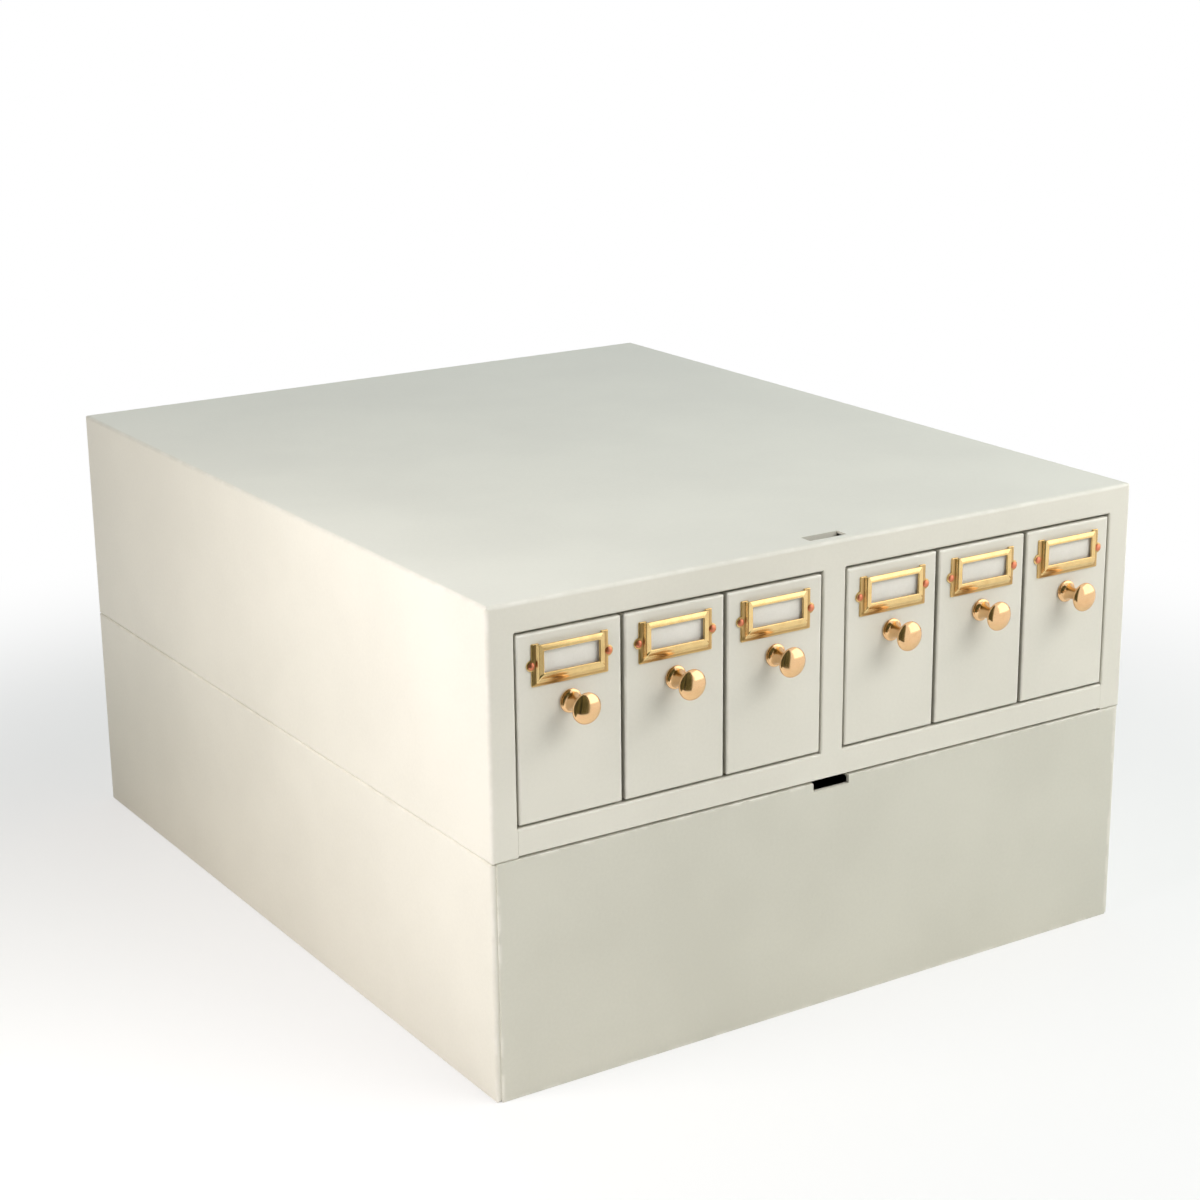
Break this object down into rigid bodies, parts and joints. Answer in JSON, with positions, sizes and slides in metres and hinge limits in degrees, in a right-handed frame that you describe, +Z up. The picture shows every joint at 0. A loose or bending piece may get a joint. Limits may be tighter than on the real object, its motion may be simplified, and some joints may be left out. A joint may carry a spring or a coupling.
{
  "type": "slide storage cabinet",
  "caption": "Stacked sheet-steel cabinet for microscope slides: narrow pull-out drawers with brass knobs and label holders, on a plain base of the same footprint.",
  "frame": {"origin": "on the floor, under the middle of the whole outline with the knobs included", "axes": "+X to the right seen from the front, +Y from front to back, +Z up"},
  "size_m": [0.385, 0.4848, 0.241],
  "materials": {
    "casing_paint": "satin cream baked enamel",
    "inner_paint": "satin cream baked enamel",
    "plated_steel": "zinc-plated steel",
    "bumper_rubber": "matt black rubber",
    "label_brass": "pressed yellow brass",
    "knob_brass": "polished rose brass",
    "rivet_copper": "copper",
    "label_card": "matt white card"
  },
  "bodies": {
    "cabinet": {"case_shell": "casing_paint", "case_back": "casing_paint", "drawer_floor": "casing_paint", "centre_post": "casing_paint", "centre_partition": "inner_paint", "tee_guides": "plated_steel", "edge_guides": "plated_steel", "rear_bumpers": "bumper_rubber", "stacking_tongue": "plated_steel", "base_shell": "casing_paint", "base_front": "casing_paint", "base_back": "casing_paint"},
    "drawer_1": {"drawer_1_front": "casing_paint", "drawer_1_tray": "inner_paint", "drawer_1_divider": "inner_paint", "drawer_1_label_holder": "label_brass", "drawer_1_label_card": "label_card", "drawer_1_rivets": "rivet_copper", "drawer_1_knob": "knob_brass", "drawer_1_knob_screw": "plated_steel"},
    "drawer_2": {"drawer_2_front": "casing_paint", "drawer_2_tray": "inner_paint", "drawer_2_divider": "inner_paint", "drawer_2_label_holder": "label_brass", "drawer_2_label_card": "label_card", "drawer_2_rivets": "rivet_copper", "drawer_2_knob": "knob_brass", "drawer_2_knob_screw": "plated_steel"},
    "drawer_3": {"drawer_3_front": "casing_paint", "drawer_3_tray": "inner_paint", "drawer_3_divider": "inner_paint", "drawer_3_label_holder": "label_brass", "drawer_3_label_card": "label_card", "drawer_3_rivets": "rivet_copper", "drawer_3_knob": "knob_brass", "drawer_3_knob_screw": "plated_steel"},
    "drawer_4": {"drawer_4_front": "casing_paint", "drawer_4_tray": "inner_paint", "drawer_4_divider": "inner_paint", "drawer_4_label_holder": "label_brass", "drawer_4_label_card": "label_card", "drawer_4_rivets": "rivet_copper", "drawer_4_knob": "knob_brass", "drawer_4_knob_screw": "plated_steel"},
    "drawer_5": {"drawer_5_front": "casing_paint", "drawer_5_tray": "inner_paint", "drawer_5_divider": "inner_paint", "drawer_5_label_holder": "label_brass", "drawer_5_label_card": "label_card", "drawer_5_rivets": "rivet_copper", "drawer_5_knob": "knob_brass", "drawer_5_knob_screw": "plated_steel"},
    "drawer_6": {"drawer_6_front": "casing_paint", "drawer_6_tray": "inner_paint", "drawer_6_divider": "inner_paint", "drawer_6_label_holder": "label_brass", "drawer_6_label_card": "label_card", "drawer_6_rivets": "rivet_copper", "drawer_6_knob": "knob_brass", "drawer_6_knob_screw": "plated_steel"}
  },
  "joints": [
    {"name": "drawer_1_slide", "type": "slide", "parent": "cabinet", "child": "drawer_1", "axis": [0, -1, 0], "range_m": [0, 0.38]},
    {"name": "drawer_2_slide", "type": "slide", "parent": "cabinet", "child": "drawer_2", "axis": [0, -1, 0], "range_m": [0, 0.38]},
    {"name": "drawer_3_slide", "type": "slide", "parent": "cabinet", "child": "drawer_3", "axis": [0, -1, 0], "range_m": [0, 0.38]},
    {"name": "drawer_4_slide", "type": "slide", "parent": "cabinet", "child": "drawer_4", "axis": [0, -1, 0], "range_m": [0, 0.38]},
    {"name": "drawer_5_slide", "type": "slide", "parent": "cabinet", "child": "drawer_5", "axis": [0, -1, 0], "range_m": [0, 0.38]},
    {"name": "drawer_6_slide", "type": "slide", "parent": "cabinet", "child": "drawer_6", "axis": [0, -1, 0], "range_m": [0, 0.38]}
  ]
}
